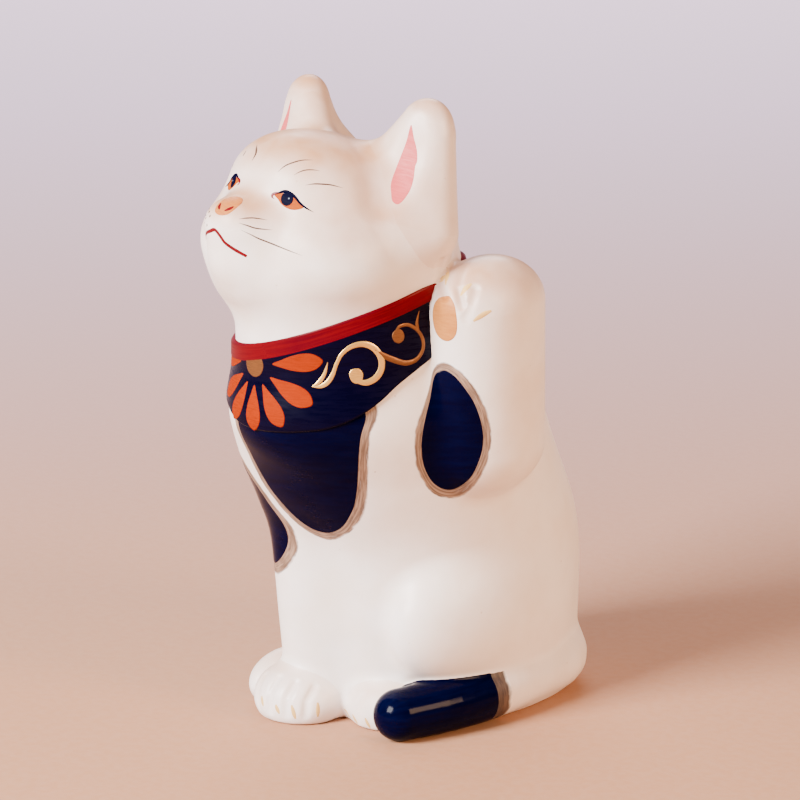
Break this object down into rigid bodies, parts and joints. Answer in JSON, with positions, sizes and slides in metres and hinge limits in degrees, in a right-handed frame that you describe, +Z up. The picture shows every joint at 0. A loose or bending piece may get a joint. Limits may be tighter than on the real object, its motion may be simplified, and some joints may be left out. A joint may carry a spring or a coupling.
{
  "type": "beckoning cat figurine",
  "caption": "Seated clay cat figurine with one foreleg raised, painted bib and neck ribbon, and a vented foot slab.",
  "frame": {"origin": "middle of the overall box's underside, on the surface the figurine stands on", "axes": "+Z up, the chest faces -Y, +X is the cat's left, the side of its raised foreleg"},
  "size_m": [0.1008, 0.1488, 0.2104],
  "materials": {
    "white_clay": "satin white ground over fired clay",
    "navy_clay": "glossy navy enamel",
    "red_clay": "glossy red enamel",
    "bare_clay": "matt unpainted clay"
  },
  "bodies": {
    "root": {"torso_front_shell": "white_clay", "torso_back_shell": "white_clay", "face_shell": "white_clay", "head_back_shell": "white_clay", "left_ear": "white_clay", "right_ear": "white_clay", "raised_arm": "white_clay", "right_forepaw": "white_clay", "left_hind_paw": "white_clay", "right_hind_paw": "white_clay", "tail": "white_clay", "bib": "navy_clay", "neck_ribbon": "red_clay", "foot_slab": "bare_clay"}
  },
  "joints": []
}
